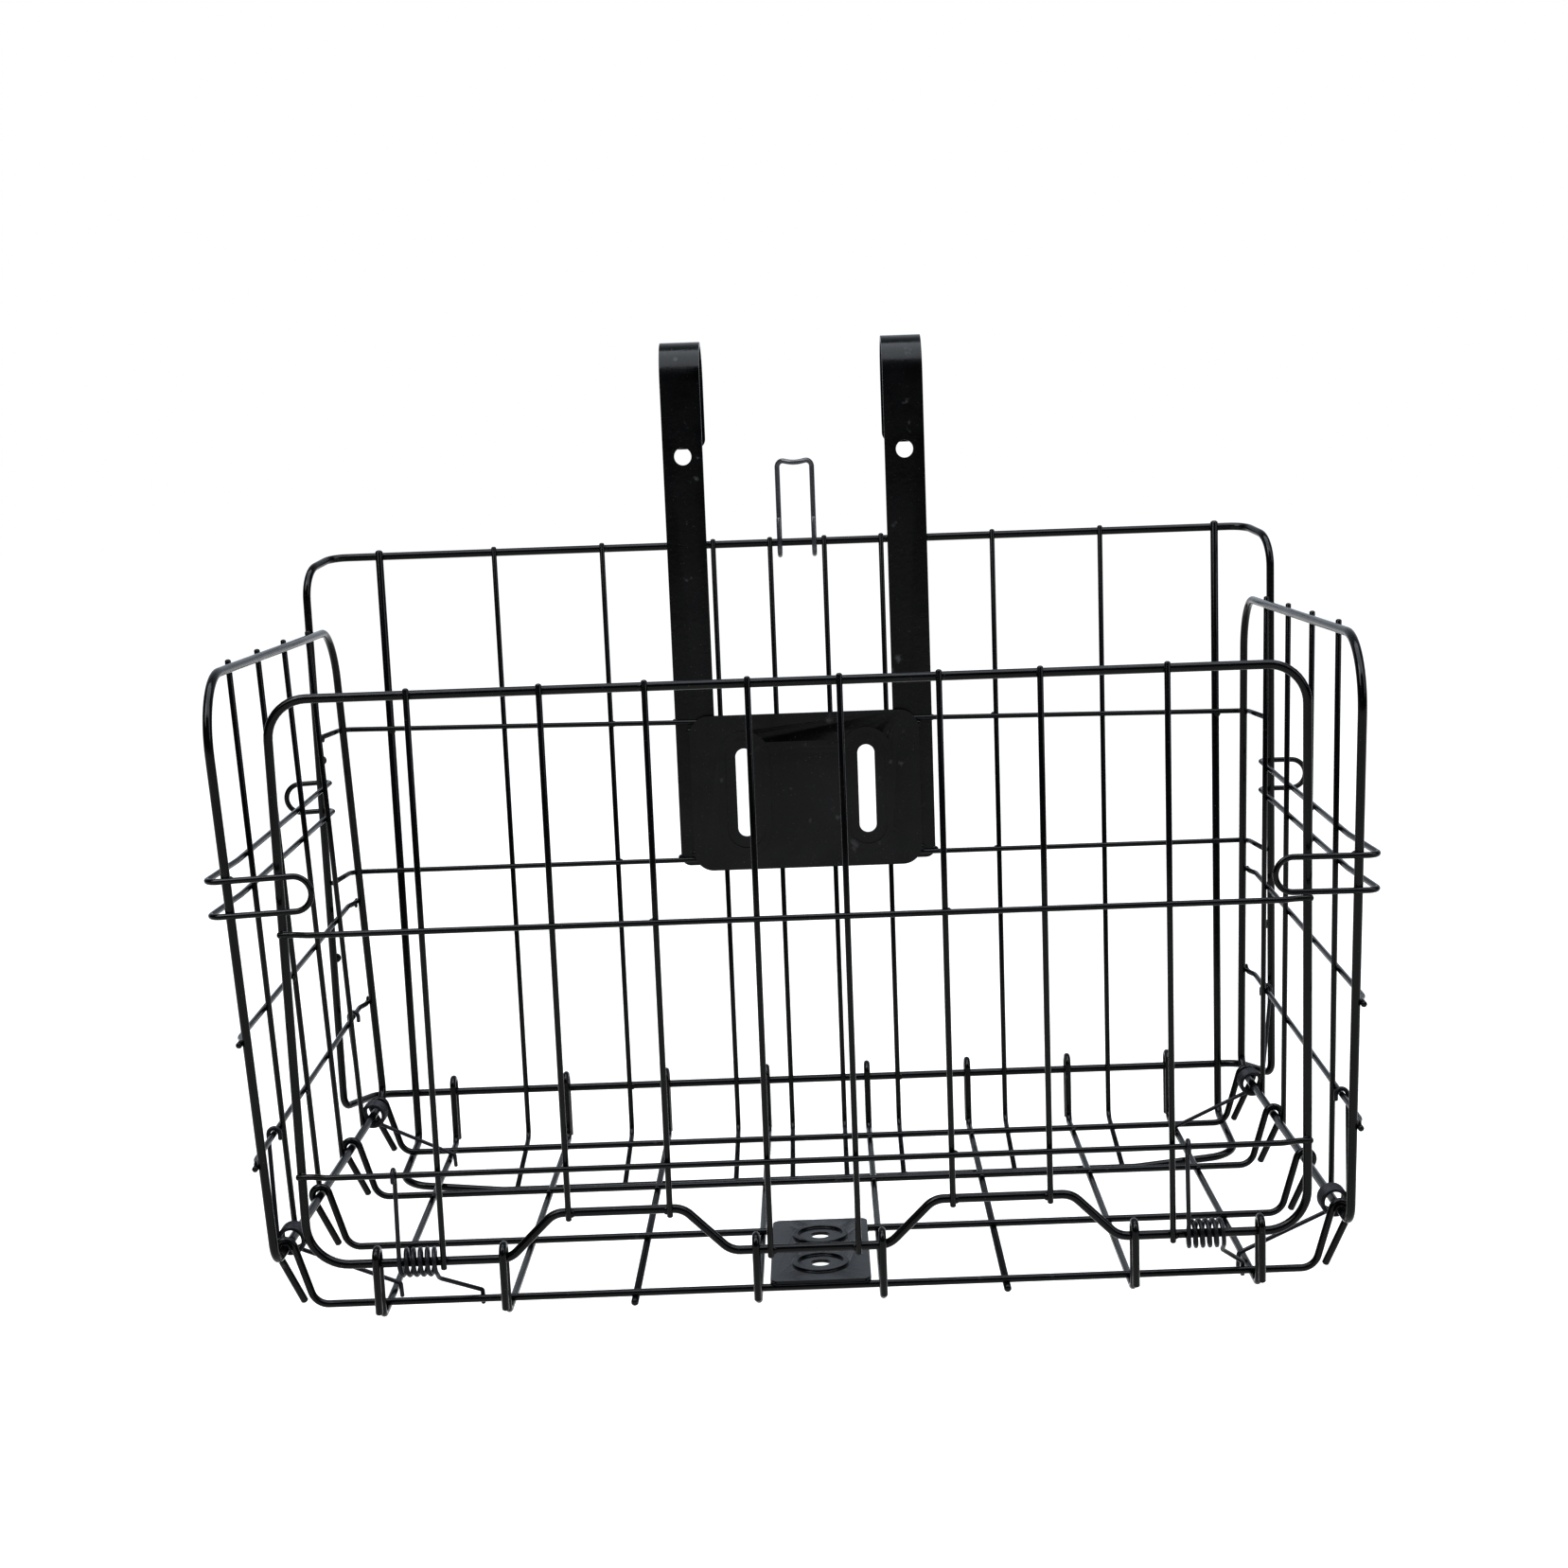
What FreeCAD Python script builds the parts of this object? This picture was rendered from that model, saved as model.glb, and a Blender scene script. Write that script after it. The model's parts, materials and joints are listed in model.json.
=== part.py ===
import FreeCAD, Part
import math
import os
from types import SimpleNamespace

import Sketcher

# A folding wire basket that hangs on a bicycle's handlebar by two flat hooks.
# It is drawn in basket coordinates: X to the rider's right, Y forward to the hooks' side, Z up,
# X = 0 midway between the front panel's side wires, Y = 0 in the back panel's mesh and Z = 0 on the
# floor rails. The hooks and the meshes of the back panel and the floor sit a little to the right of
# the rims. Every node is then shifted so that the part's origin lies on the handlebar's axis,
# midway between the two hooks.

V = FreeCAD.Vector
LEFT, RIGHT = -1, 1
SIDE_NAMES = {LEFT: "left", RIGHT: "right"}

doc = FreeCAD.newDocument("HandlebarBasket")
sheet = doc.addObject("Spreadsheet::Sheet", "Sizes")

SIZES = [
    # wire gauges
    ("rim_wire", 3.0, "panel rims and the foot frame"),
    ("floor_wire", 2.5, "floor rails and cross wires"),
    ("mesh_wire", 2.0, "mesh wires, loops and the latch"),
    ("spring_wire", 1.5, "torsion springs"),
    ("weld_set", 0.2, "how far two welded wires sink into each other"),
    ("hinge_gap", 0.35, "clearance of a wire hook round its hinge wire"),
    ("nub", 2.0, "length of a side rail's end past the rim it is welded to"),
    ("rim_nub", 0.4, "length of an upright wire's end past the rim it is welded to"),
    ("mesh_shift", 3.6, "how far right of the rims the hooks and the floor's and back's meshes sit"),
    # floor
    ("rail_pitch", 60.0, "between floor rails"),
    ("rail_back_y", -20.0, "rearmost floor rail"),
    ("hook_rise_angle", 74.0, "slope of a rail's end, degrees"),
    ("rail_bend", 6.0, "bend radius where a rail turns up"),
    ("hook_close_angle", 9.0, "how far a rail hook's free leg leans back toward the rail"),
    ("rail_hook_end_z", 1.5, "lower end of a rail hook's free leg"),
    ("cross_pitch", 42.3, "between cross wires"),
    ("front_hook_centre_z", 19.2, "centre of the front hooks' bend"),
    ("front_hook_end_z", 1.0, "lower end of a front hook's free leg"),
    ("back_hook_centre_z", 21.9, "centre of the back hooks' bend"),
    ("back_hook_end_z", -2.0, "lower end of a back hook's free leg"),
    ("first_wire_slip", 5.2, "how far left of its front end the first cross wire's back hook sits"),
    ("cross_nub_y", -203.0, "front end of the two unhooked cross wires"),
    # floor plate
    ("floor_plate_width", 34.5, "floor plate, across"),
    ("floor_plate_length", 66.0, "floor plate, front to back"),
    ("floor_plate_y", -168.0, "floor plate's centre"),
    ("floor_plate_thick", 1.2, "floor plate's sheet"),
    ("floor_plate_corner", 3.0, "floor plate's corner radius"),
    ("bolt_hole", 6.5, "hole for an M6 bolt"),
    ("bolt_pitch", 30.0, "between the two bolt holes"),
    ("dimple_outer", 20.0, "dimple's outer diameter"),
    ("dimple_inner", 16.0, "dimple's inner diameter"),
    ("dimple_rise", 0.8, "dimple's height"),
    # front panel
    ("front_y", -211.0, "front panel's rim"),
    ("front_hinge_z", 17.5, "front panel's lower wire, its hinge axis"),
    ("front_top_z", 207.5, "front panel's upper wire"),
    ("front_half_width", 167.5, "front panel's side wires"),
    ("front_low_corner", 14.0, "lower corner radius"),
    ("front_top_corner", 13.0, "upper corner radius"),
    ("hump_height", 15.3, "rise of the two humps in the lower wire"),
    ("hump_slope", 15.5, "run of a hump's flank"),
    ("hump_bend", 8.0, "bend radius of a hump"),
    ("front_mid_z", 131.0, "front panel's middle rail"),
    ("front_low_z", 49.0, "front panel's lower rail"),
    ("front_rail_half", 168.5, "half length of the front rails"),
    # back panel
    ("back_rim_y", 2.3, "back panel's upper and lower wire"),
    ("back_hinge_z", 19.3, "back panel's lower wire, the floor's hinge axis"),
    ("back_top_z", 244.0, "back panel's upper wire, the latch's axis"),
    ("mesh_half_width", 185.5, "back panel's flat part, half width"),
    ("lower_half_width", 182.0, "straight part of the lower wire, half width"),
    ("flange_x", 190.5, "upright wire of the flange"),
    ("flange_y", -26.0, "upright wire of the flange"),
    ("flange_top_z", 240.0, "flange's upper corner"),
    ("flange_low_z", 22.0, "flange's lower corner"),
    ("back_upper_z", 171.9, "middle of the back panel's upper rail"),
    ("back_upper_slant", 5.6, "how much higher the upper rail's left end is than its right end"),
    ("back_lower_z", 115.5, "back panel's lower rail"),
    ("foot_x", 169.0, "uprights of the foot frame"),
    ("foot_front_y", -47.0, "front edge of the foot"),
    ("foot_front_z", -5.6, "ends of the foot's front edge"),
    ("foot_sag", 4.0, "how much lower the middle of the foot's front edge is"),
    ("foot_sag_x", 128.0, "half length of that middle"),
    ("foot_bend_z", -1.0, "where the uprights bend forward"),
    ("foot_corner", 11.0, "corner radius of the foot"),
    # hooks
    ("strap_x", 44.6, "centre of a hook strap"),
    ("strap_width", 16.0, "flat bar, width"),
    ("strap_thick", 2.0, "flat bar, thickness"),
    ("hook_radius", 14.0, "inside radius of a handlebar hook"),
    ("hook_axis_y", 15.0, "handlebar's axis"),
    ("hook_axis_z", 309.0, "handlebar's axis"),
    ("strap_low_z", 113.0, "lower end of a strap"),
    ("hook_tip_z", 282.5, "end of the hook's free leg"),
    ("strap_hole", 7.0, "hole in the strap"),
    ("strap_hole_z", 279.6, "hole in the strap"),
    ("strap_corner", 4.0, "corner radius of a strap's ends"),
    # slotted plate
    ("slot_plate_width", 94.0, "slotted plate, across"),
    ("slot_plate_low_z", 111.0, "slotted plate's lower edge"),
    ("slot_plate_top_z", 175.0, "slotted plate's upper edge"),
    ("slot_plate_thick", 1.6, "slotted plate's sheet"),
    ("slot_plate_corner", 8.0, "slotted plate's corner radius"),
    ("slot_x", 25.0, "centre of a slot"),
    ("slot_width", 7.0, "slot, across"),
    ("slot_height", 36.5, "slot, overall height"),
    ("ridge_width", 21.0, "raised ring round a slot, across"),
    ("ridge_height", 51.0, "raised ring round a slot, overall height"),
    ("ridge_band", 2.7, "width of the raised ring"),
    ("ridge_rise", 0.8, "height of the raised ring"),
    # side panels
    ("left_hinge_x", 177.5, "left panel's lower wire, its hinge axis"),
    ("right_hinge_x", 181.1, "right panel's lower wire, its hinge axis"),
    ("side_hinge_z", 20.0, "side panel's lower wire, its hinge axis"),
    ("side_height", 196.0, "side panel, lower wire to upper wire"),
    ("left_lean", 2.2, "left panel's outward lean, degrees"),
    ("right_lean", 0.6, "right panel's outward lean, degrees"),
    ("side_front_low_y", -215.0, "side panel's front edge, below"),
    ("side_front_top_y", -222.0, "side panel's front edge, above"),
    ("side_back_y", -9.0, "side panel's back edge"),
    ("side_low_corner", 7.0, "lower corner radius"),
    ("side_front_corner", 24.0, "front upper corner radius"),
    ("side_back_corner", 20.0, "back upper corner radius"),
    ("side_rail_c", 42.0, "back end of the lower rail, above the hinge"),
    ("side_rail_b", 84.5, "back end of the middle rail, above the hinge"),
    ("side_rail_drop", 8.0, "how much lower a side rail's front end is"),
    ("left_loop_low", 119.5, "front end of the left loop wire's lower run, above the hinge"),
    ("right_loop_low", 114.5, "front end of the right loop wire's lower run, above the hinge"),
    ("loop_rise", 5.3, "how much higher the loop wire's back end is"),
    ("loop_gap", 11.5, "between the loop wire's two runs"),
    ("front_loop_x", 155.0, "inner end of the front loop"),
    ("front_loop_corner_x", 189.0, "outer corner of the front loop"),
    ("back_loop_x", 205.0, "outer end of the rear loop"),
    ("back_loop_y", -22.5, "rear loop's run behind the flange"),
    ("loop_corner", 4.0, "bend radius of the loop wire's corners"),
    # springs and latch
    ("coil_radius", 4.3, "torsion spring, centre line"),
    ("front_coil_turns", 5.0, "whole turns of a front spring"),
    ("side_coil_turns", 5.0, "whole turns of a side spring"),
    ("front_coil_length", 12.0, "length of a front spring's coil"),
    ("side_coil_length", 8.0, "length of a side spring's coil"),
    ("latch_half", 7.0, "latch clip's legs"),
    ("latch_top_z", 277.0, "latch clip's crosspiece"),
    ("latch_hook_z", 241.9, "centre of the bend round the upper wire"),
    ("latch_hook_radius", 3.0, "bend round the upper wire, centre line"),
    ("latch_end_z", 253.6, "upper end of the short legs"),
    ("latch_bow", 3.5, "how far the crosspiece bows forward"),
]

for row, (alias, value, note) in enumerate(SIZES, start=1):
    sheet.set(f"A{row}", note)
    sheet.set(f"B{row}", str(value))
    sheet.setAlias(f"B{row}", alias)
doc.recompute()
d = SimpleNamespace(**{alias: float(sheet.get(alias)) for alias, _, _ in SIZES})

# Sizes that follow from the driving ones.
rim_radius = d.rim_wire / 2
mesh_radius = d.mesh_wire / 2
floor_radius = d.floor_wire / 2
hook_bend = rim_radius + d.hinge_gap + floor_radius
rim_to_mesh = rim_radius + mesh_radius - d.weld_set
mesh_to_mesh = d.mesh_wire - d.weld_set
cross_z = d.weld_set / 2 - d.floor_wire
rail_ys = [d.rail_back_y - d.rail_pitch * step for step in (3, 2, 1, 0)]
cross_xs = [d.mesh_shift + d.cross_pitch * (step + 0.5) for step in range(-4, 4)]
unhooked = (3, 6)
hinge_x = {LEFT: d.left_hinge_x, RIGHT: d.right_hinge_x}
lean = {LEFT: math.radians(d.left_lean), RIGHT: math.radians(d.right_lean)}
loop_low = {LEFT: d.left_loop_low, RIGHT: d.right_loop_low}

# Stations of the upright wires: across for the front and back panels, front to back for the sides.
front_uprights = (-122.0, -79.5, -45.7, -12.7, 16.8, 48.7, 81.2, 122.0)
back_uprights = [d.mesh_shift + side * x for x in (11.0, 34.0, 79.0, 122.7) for side in (LEFT, RIGHT)]
side_uprights = (-174.0, -131.0, -88.0, -44.5)

# Inner and outer foot of the hump on each side of the front panel's lower wire.
hump_feet = {LEFT: (26.0, 100.0), RIGHT: (27.0, 104.0)}

nodes = []


# ---- helpers -----------------------------------------------------------------------------------

def corner_arc(before, corner, after, radius):
    """Start, middle and end of the arc that rounds a corner of a route."""
    back = (before - corner).normalize()
    on = (after - corner).normalize()
    half = back.getAngle(on) / 2
    reach = radius / math.tan(half)
    start = corner + back * reach
    end = corner + on * reach
    inward = (back + on).normalize()
    middle = corner + inward * (radius / math.sin(half) - radius)
    return start, middle, end


def route(points, radii, closed=False):
    """Straight runs joined by tangent arcs, as a list of line and arc geometry."""
    points = [V(*point) for point in points]
    count = len(points)
    if not isinstance(radii, (list, tuple)):
        radii = [radii] * count
    turns = range(count) if closed else range(1, count - 1)
    arcs = [corner_arc(points[i - 1], points[i], points[(i + 1) % count], radii[i]) for i in turns]
    pieces = []
    last = arcs[-1][2] if closed else points[0]
    for start, middle, end in arcs:
        if (start - last).Length > 1e-6:
            pieces.append(Part.LineSegment(last, start))
        pieces.append(Part.Arc(start, middle, end))
        last = end
    if not closed and (points[-1] - last).Length > 1e-6:
        pieces.append(Part.LineSegment(last, points[-1]))
    return pieces


def bent_wire(name, points, radii, gauge, closed=False):
    """A round wire of the sheet's gauge, swept along a route."""
    spine = doc.addObject("Part::Feature", f"{name}_route")
    spine.Shape = Part.Wire([piece.toShape() for piece in route(points, radii, closed)])
    first = spine.Shape.OrderedEdges[0]
    start = spine.Shape.OrderedVertexes[0].Point
    heading = first.tangentAt(first.FirstParameter)
    if (first.valueAt(first.FirstParameter) - start).Length > 1e-6:
        heading = first.tangentAt(first.LastParameter) * -1
    section = doc.addObject("Part::Circle", f"{name}_section")
    section.setExpression("Radius", f"Sizes.{gauge} / 2")
    section.Placement = FreeCAD.Placement(start, FreeCAD.Rotation(V(0, 0, 1), heading))
    wire = doc.addObject("Part::Sweep", name)
    wire.Sections = [section]
    wire.Spine = (spine, [f"Edge{i + 1}" for i in range(len(spine.Shape.Edges))])
    wire.Solid = True
    wire.Frenet = False
    return wire


def straight_wire(name, start, end, gauge):
    """A straight round wire of the sheet's gauge."""
    start, end = V(*start), V(*end)
    wire = doc.addObject("Part::Cylinder", name)
    wire.setExpression("Radius", f"Sizes.{gauge} / 2")
    wire.Height = (end - start).Length
    wire.Placement = FreeCAD.Placement(start, FreeCAD.Rotation(V(0, 0, 1), end - start))
    return wire


def place(obj, x="0", y="0", z="0"):
    """Shift a node from basket coordinates to the origin on the handlebar's axis."""
    obj.setExpression("Placement.Base.x", f"{x} - Sizes.mesh_shift")
    obj.setExpression("Placement.Base.y", f"{y} - Sizes.hook_axis_y")
    obj.setExpression("Placement.Base.z", f"{z} - Sizes.hook_axis_z")


def add_node(name, obj):
    """Make an object, or a group of them, the node of that name."""
    if isinstance(obj, list):
        group = doc.addObject("Part::Compound", name)
        group.Links = obj
        obj = group
    obj.Label = name
    place(obj)
    nodes.append(obj)


def origin_plane(body, role):
    """One of a body's own origin planes."""
    return [item for item in body.Origin.OriginFeatures if item.Role == role][0]


def sketch_on(body, name, role, pieces):
    """A sketch on one of the body's origin planes, from line, arc and circle geometry."""
    sketch = body.newObject("Sketcher::SketchObject", name)
    sketch.AttachmentSupport = [(origin_plane(body, role), "")]
    sketch.MapMode = "FlatFace"
    for piece in pieces:
        sketch.addGeometry(piece)
    return sketch


def pad(body, name, sketch, length, from_height="0", midplane=False):
    """Pad a sketch by a spreadsheet length, from a height above its plane."""
    feature = body.newObject("PartDesign::Pad", name)
    feature.Profile = sketch
    feature.setExpression("Length", length)
    feature.Midplane = midplane
    sketch.setExpression("AttachmentOffset.Base.z", from_height)
    sketch.Visibility = False
    return feature


def pocket(body, name, sketch, length):
    """Cut a sketch through the sheet, the same length on both sides of its plane."""
    feature = body.newObject("PartDesign::Pocket", name)
    feature.Profile = sketch
    feature.Midplane = True
    feature.setExpression("Length", length)
    sketch.Visibility = False
    return feature


def circles(centres, radius):
    """Circle geometry for a sketch."""
    return [Part.Circle(V(x, y, 0), V(0, 0, 1), radius) for x, y in centres]


def hold_diameters(sketch, count, diameter):
    """Hold the circles of a sketch to a spreadsheet diameter."""
    for index in range(count):
        sketch.addConstraint(Sketcher.Constraint("Diameter", index, 2 * sketch.Geometry[index].Radius))
        sketch.setExpression(f"Constraints[{index}]", diameter)


def rounded_box(width, height, corner, x=0.0, y=0.0):
    """Outline of a rectangle with round corners, for a sketch."""
    half_w, half_h = width / 2, height / 2
    corners = [(x - half_w, y - half_h, 0), (x + half_w, y - half_h, 0)]
    corners += [(x + half_w, y + half_h, 0), (x - half_w, y + half_h, 0)]
    return route(corners, corner, closed=True)


# ---- floor -------------------------------------------------------------------------------------

def rail_end(side, y):
    """Route of a rail's end, from the tip of its hook to the bend at the floor."""
    rise = math.radians(d.hook_rise_angle)
    along = V(side * math.cos(rise), 0, math.sin(rise))
    inner = V(-side * math.sin(rise), 0, math.cos(rise))
    hinge = V(side * hinge_x[side], y, d.side_hinge_z)
    close = math.radians(d.hook_close_angle)
    leg_along = V(side * math.cos(rise - close), 0, math.sin(rise - close))
    leg_inner = V(-side * math.sin(rise - close), 0, math.cos(rise - close))
    leg_foot = hinge - leg_inner * hook_bend
    tip = leg_foot + leg_along * ((d.rail_hook_end_z - leg_foot.z) / leg_along.z)
    outer_top = leg_foot + leg_along * (hook_bend * (1 + math.sin(close)) / math.cos(close))
    inner_top = hinge + (along + inner) * hook_bend
    bend = hinge + inner * hook_bend
    bend -= along * (bend.z / along.z)
    return [tip, outer_top, inner_top, bend]


def build_rails():
    """Four floor rails; their ends hook over the side panels' lower wires."""
    for number, y in enumerate(rail_ys, start=1):
        points = rail_end(LEFT, y) + rail_end(RIGHT, y)[::-1]
        radii = [0, hook_bend, hook_bend, d.rail_bend, d.rail_bend, hook_bend, hook_bend, 0]
        add_node(f"base_rail_{number}", bent_wire(f"rail_{number}", points, radii, "floor_wire"))


def build_cross_wires():
    """Eight cross wires under the rails; they hook over the front and back panels' lower wires."""
    front_in = d.front_y + hook_bend
    front_out = d.front_y - hook_bend
    front_top = d.front_hook_centre_z + hook_bend
    back_in = d.back_rim_y - hook_bend
    back_out = d.back_rim_y + hook_bend
    back_top = d.back_hook_centre_z + hook_bend
    turn = 4.0
    for number, x in enumerate(cross_xs, start=1):
        if number in unhooked:
            points = [(x, d.cross_nub_y, cross_z)]
            radii = [0]
        else:
            points = [(x, front_out, d.front_hook_end_z), (x, front_out, front_top)]
            points += [(x, front_in, front_top), (x, front_in, cross_z)]
            radii = [0, hook_bend, hook_bend, turn]
        back_x = x - (d.first_wire_slip if number == 1 else 0)
        points += [(back_x, back_in, cross_z), (back_x, back_in, back_top)]
        points += [(back_x, back_out, back_top), (back_x, back_out, d.back_hook_end_z)]
        radii += [turn, hook_bend, hook_bend, 0]
        wire = bent_wire(f"cross_{number}", points, radii, "floor_wire")
        add_node(f"base_cross_wire_{number}", wire)


def build_floor_plate():
    """Pressed plate on the two front rails, with two bolt holes in round dimples."""
    body = doc.addObject("PartDesign::Body", "floor_plate")
    outline = rounded_box(d.floor_plate_width, d.floor_plate_length, d.floor_plate_corner)
    pad(body, "sheet", sketch_on(body, "outline", "XY_Plane", outline), "Sizes.floor_plate_thick")
    centres = [(0, -d.bolt_pitch / 2), (0, d.bolt_pitch / 2)]
    rings = circles(centres, d.dimple_outer / 2) + circles(centres, d.dimple_inner / 2)
    ring_sketch = sketch_on(body, "dimple_rings", "XY_Plane", rings)
    pad(body, "dimples", ring_sketch, "Sizes.dimple_rise", "Sizes.floor_plate_thick")
    doc.recompute()
    before = body.Shape.Volume
    holes = sketch_on(body, "bolt_circles", "XY_Plane", circles(centres, d.bolt_hole / 2))
    hold_diameters(holes, 2, "Sizes.bolt_hole")
    pocket(body, "bolt_holes", holes, "4 * Sizes.floor_plate_thick")
    doc.recompute()
    check_cut(body, before, 2 * math.pi * d.bolt_hole ** 2 / 4 * d.floor_plate_thick)
    body.Label = "base_plate"
    floor_plate_z = "Sizes.floor_wire / 2 - Sizes.weld_set / 2"
    place(body, "Sizes.mesh_shift", "Sizes.floor_plate_y", floor_plate_z)
    nodes.append(body)


def check_cut(body, before, expected):
    """Stop when a pocket took away something else than it should."""
    taken = before - body.Shape.Volume
    if abs(taken - expected) > 0.02 * expected:
        raise RuntimeError(f"{body.Name}: the cut took {taken:.1f} mm3, not {expected:.1f} mm3")


# ---- front panel -------------------------------------------------------------------------------

def build_front_panel():
    """Closed rim with two humps below, upright wires and two rails, the rails outermost."""
    y, low, top, half = d.front_y, d.front_hinge_z, d.front_top_z, d.front_half_width
    points = [(-half, y, top), (-half, y, low)]
    radii = [d.front_top_corner, d.front_low_corner]
    humps = []
    for side in (LEFT, RIGHT):
        inner, outer = hump_feet[side]
        humps.append(sorted((side * (inner + d.hump_slope), side * (outer - d.hump_slope))))
        flanks = [(inner, 0), (inner + d.hump_slope, d.hump_height)]
        flanks += [(outer - d.hump_slope, d.hump_height), (outer, 0)]
        for x, rise in flanks[::side]:
            points.append((side * x, y, low + rise))
            radii.append(d.hump_bend)
    points += [(half, y, low), (half, y, top)]
    radii += [d.front_low_corner, d.front_top_corner]
    rim = bent_wire("front_rim", points, radii, "rim_wire", closed=True)
    add_node("front_panel_rim", rim)

    upright_y = y - rim_to_mesh
    uprights = []
    for x in front_uprights:
        on_hump = any(start < x < end for start, end in humps)
        foot = low + (d.hump_height if on_hump else 0)
        start = (x, upright_y, foot - rim_radius - d.rim_nub)
        end = (x, upright_y, top + rim_radius + d.rim_nub)
        uprights.append(straight_wire("front_upright", start, end, "mesh_wire"))
    add_node("front_vertical_wires", uprights)

    rail_y = upright_y - mesh_to_mesh
    for name, z in (("front_mid_rail", d.front_mid_z), ("front_lower_rail", d.front_low_z)):
        end, joggle, level = d.front_rail_half, half - 4, half - 9
        outline = [(end, upright_y), (joggle, upright_y), (level, rail_y)]
        points = [(-x, run_y, z) for x, run_y in outline]
        points += [(x, run_y, z) for x, run_y in outline[::-1]]
        add_node(name, bent_wire(f"{name}_wire", points, 8.0, "mesh_wire"))


# ---- back panel --------------------------------------------------------------------------------

def build_back_rim():
    """Closed rim whose two sides are bent forward as flanges."""
    upper = (d.mesh_half_width, d.back_rim_y, d.back_top_z)
    flange_top = (d.flange_x, d.flange_y, d.flange_top_z)
    flange_low = (d.flange_x, d.flange_y, d.flange_low_z)
    lower = (d.lower_half_width, d.back_rim_y, d.back_hinge_z)
    half = [upper, flange_top, flange_low, lower]
    radii = [8.0, 13.0, 5.0, 8.0]
    points = half + [(-x, y, z) for x, y, z in half[::-1]]
    rim = bent_wire("back_rim", points, radii + radii[::-1], "rim_wire", closed=True)
    add_node("back_panel_rim", rim)


def build_back_wires():
    """Foot frame, upright wires whose feet run forward to it, and two rails."""
    foot_y = mesh_radius - rim_radius
    top = d.back_top_z + rim_radius + d.rim_nub
    profile = [(foot_y, top), (foot_y, d.foot_bend_z), (d.foot_front_y, d.foot_front_z)]
    sag_z = d.foot_front_z - d.foot_sag
    points = [(d.mesh_shift + d.foot_x, y, z) for y, z in profile]
    points += [(d.mesh_shift + x, d.foot_front_y, sag_z) for x in (d.foot_sag_x, -d.foot_sag_x)]
    points += [(d.mesh_shift - d.foot_x, y, z) for y, z in profile[::-1]]
    bend = 5.0
    sag_bend = 20.0
    radii = [0, bend, d.foot_corner, sag_bend]
    radii += radii[::-1]
    add_node("back_foot_frame", bent_wire("foot", points, radii, "rim_wire"))

    uprights = []
    foot_end_y = d.foot_front_y + rim_radius - d.weld_set
    for x in back_uprights:
        points = [(x, 0, top), (x, 0, d.foot_bend_z), (x, foot_end_y, sag_z)]
        uprights.append(bent_wire("back_upright", points, bend, "mesh_wire"))
    add_node("back_vertical_wires", uprights)

    rail_y = -mesh_to_mesh
    end_x = d.flange_x - rim_to_mesh
    plan = [(-end_x, d.flange_y - 1), (-d.mesh_half_width, rail_y)]
    plan += [(d.mesh_half_width, rail_y), (end_x, d.flange_y - 1)]
    rails = [
        ("back_upper_rail", d.back_upper_z, d.back_upper_slant / (2 * d.flange_x)),
        ("back_lower_rail", d.back_lower_z, 0.0),
    ]
    for name, z, slope in rails:
        points = [(x, y, z - slope * x) for x, y in plan]
        add_node(name, bent_wire(f"{name}_wire", points, 5.0, "mesh_wire"))


def build_straps():
    """Flat bars that hook backward over the handlebar, each with a hole."""
    front, back = -d.strap_thick / 2, d.strap_thick / 2
    axis_y, axis_z = d.hook_axis_y, d.hook_axis_z
    outer, inner = axis_y - front, axis_y - back
    tip_front, tip_back = axis_y + inner, axis_y + outer
    profile = [
        Part.LineSegment(V(front, d.strap_low_z, 0), V(front, axis_z, 0)),
        Part.Arc(V(front, axis_z, 0), V(axis_y, axis_z + outer, 0), V(tip_back, axis_z, 0)),
        Part.LineSegment(V(tip_back, axis_z, 0), V(tip_back, d.hook_tip_z, 0)),
        Part.LineSegment(V(tip_back, d.hook_tip_z, 0), V(tip_front, d.hook_tip_z, 0)),
        Part.LineSegment(V(tip_front, d.hook_tip_z, 0), V(tip_front, axis_z, 0)),
        Part.Arc(V(tip_front, axis_z, 0), V(axis_y, axis_z + inner, 0), V(back, axis_z, 0)),
        Part.LineSegment(V(back, axis_z, 0), V(back, d.strap_low_z, 0)),
        Part.LineSegment(V(back, d.strap_low_z, 0), V(front, d.strap_low_z, 0)),
    ]
    for side in (LEFT, RIGHT):
        name = f"{SIDE_NAMES[side]}_hook_strap"
        body = doc.addObject("PartDesign::Body", f"{SIDE_NAMES[side]}_strap")
        sketch = sketch_on(body, "bar_profile", "YZ_Plane", profile)
        pad(body, "bar", sketch, "Sizes.strap_width", midplane=True)
        doc.recompute()
        before = body.Shape.Volume
        hole = sketch_on(body, "hole_circle", "XZ_Plane", circles([(0, d.strap_hole_z)], d.strap_hole / 2))
        hold_diameters(hole, 1, "Sizes.strap_hole")
        drilled = pocket(body, "hole", hole, "2 * Sizes.strap_thick")
        doc.recompute()
        check_cut(body, before, math.pi * d.strap_hole ** 2 / 4 * d.strap_thick)
        rounding = body.newObject("PartDesign::Fillet", "end_corners")
        rounding.Base = (drilled, end_edges(drilled.Shape))
        rounding.setExpression("Radius", "Sizes.strap_corner")
        body.Label = name
        place(body, f"Sizes.mesh_shift + {side} * Sizes.strap_x")
        nodes.append(body)


def end_edges(shape):
    """Names of the short edges across the thickness at both ends of a strap."""
    names = []
    for index, edge in enumerate(shape.Edges, start=1):
        at = edge.CenterOfMass
        at_end = min(abs(at.z - d.strap_low_z), abs(at.z - d.hook_tip_z)) < 1e-6
        if at_end and abs(abs(at.x) - d.strap_width / 2) < 1e-6:
            names.append(f"Edge{index}")
    return names


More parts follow.
